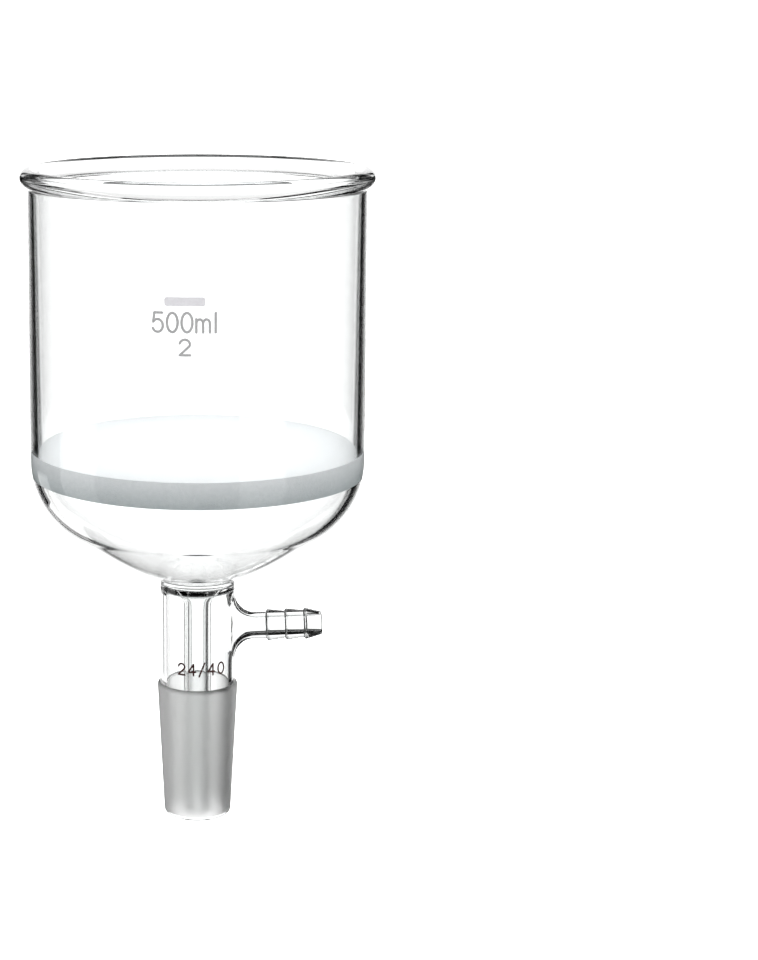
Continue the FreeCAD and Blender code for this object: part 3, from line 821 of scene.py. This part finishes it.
def studio_light():
    """White windows in dark surroundings, with a soft light overhead.  The glass is lit by them,
    the disc and the enamel by an even fill, and the camera itself sees plain white."""
    world = bpy.data.worlds.new("studio")
    world.use_nodes = True
    tree = world.node_tree
    tree.nodes.clear()
    where = tree.nodes.new("ShaderNodeTexCoord")
    split = tree.nodes.new("ShaderNodeSeparateXYZ")
    tree.links.new(where.outputs["Generated"], split.inputs[0])
    azimuth = math_node(tree, "ARCTAN2", split.outputs["Y"], split.outputs["X"])
    height = split.outputs["Z"]
    band = math_node(tree, "MULTIPLY", window(tree, azimuth, *LOW_WINDOW),
                     step_up(tree, height, LOW_WINDOW_TOP))
    for sizes in WINDOWS:
        band = math_node(tree, "MAXIMUM", band, window(tree, azimuth, *sizes))
    band = math_node(tree, "MULTIPLY", band, step_up(tree, height, WINDOWS_FOOT))
    upper = math_node(tree, "MULTIPLY_ADD", step_up(tree, height, WINDOWS_DIM),
                      -WINDOWS_DIM_BY, 1.0)
    band = math_node(tree, "MULTIPLY", band, upper)
    overhead = math_node(tree, "MULTIPLY", step_up(tree, height, OVERHEAD_FOOT),
                         OVERHEAD_STRENGTH)
    strength = math_node(tree, "MAXIMUM", band, overhead)
    around = add(tree, "ShaderNodeBackground", Color=WHITE)
    tree.links.new(math_node(tree, "ADD", strength, CARD_STRENGTH), around.inputs["Strength"])
    # what is not clear is lit evenly, and more from above
    fill = add(tree, "ShaderNodeBackground", Color=WHITE)
    fill_strength = math_node(tree, "MULTIPLY_ADD", math_node(tree, "MAXIMUM", height, 0.0),
                              FILL_RISE, FILL_LOW)
    tree.links.new(fill_strength, fill.inputs["Strength"])
    plain = add(tree, "ShaderNodeBackground", Color=WHITE, Strength=1.0)
    path = tree.nodes.new("ShaderNodeLightPath")
    scattered = math_node(tree, "GREATER_THAN", path.outputs["Diffuse Depth"], 0.5)
    shader = around
    for share, other in ((scattered, fill), (path.outputs["Is Camera Ray"], plain)):
        mix = tree.nodes.new("ShaderNodeMixShader")
        tree.links.new(share, mix.inputs[0])
        tree.links.new(shader.outputs[0], mix.inputs[1])
        tree.links.new(other.outputs[0], mix.inputs[2])
        shader = mix
    output = tree.nodes.new("ShaderNodeOutputWorld")
    tree.links.new(shader.outputs[0], output.inputs["Surface"])
    bpy.context.scene.world = world


def light_panels():
    """Light panels behind the funnel, seen only through the glass and in it.  A low one puts the
    stem against white from the front right too, and two small ones lighten the tubes' edges."""
    material, tree = new_material("light_panel")
    finish_material(tree, add(tree, "ShaderNodeEmission", Strength=PANEL_STRENGTH))
    for azimuth, distance, half_width, low, high in PANELS:
        angle = math.radians(azimuth)
        middle = Vector((math.cos(angle), math.sin(angle), 0)) * distance
        across = Vector((-math.sin(angle), math.cos(angle), 0)) * half_width
        corners = [middle + across * side + Vector((0, 0, height))
                   for side, height in ((-1, low), (1, low), (1, high), (-1, high))]
        piece = sheet("light_panel", corners, material)
        piece.visible_camera = False
        piece.visible_diffuse = False
        piece.visible_shadow = False


def photo_camera():
    """The photograph's viewpoint: level with the upper bowl and a little above it."""
    data = bpy.data.cameras.new("photo_camera")
    data.lens = 80.74
    data.sensor_width = 36.0
    data.shift_x = 0.189
    data.clip_end = 200.0
    camera = bpy.data.objects.new("photo_camera", data)
    camera.location = (0, -0.6177, 0.2055)
    camera.rotation_euler = (math.radians(90 - 13.0), 0, 0)
    bpy.context.scene.collection.objects.link(camera)
    bpy.context.scene.camera = camera


pale_floor()
studio_light()
light_panels()
photo_camera()

scene = bpy.context.scene
scene.view_settings.view_transform = "Standard"
scene.cycles.use_denoising = True
scene.cycles.max_bounces = 40
scene.cycles.transmission_bounces = 36
scene.cycles.glossy_bounces = 12
scene.cycles.diffuse_bounces = 6
scene.cycles.transparent_max_bounces = 32
scene.cycles.caustics_refractive = True
scene.cycles.caustics_reflective = True
scene.cycles.sample_clamp_indirect = 10.0
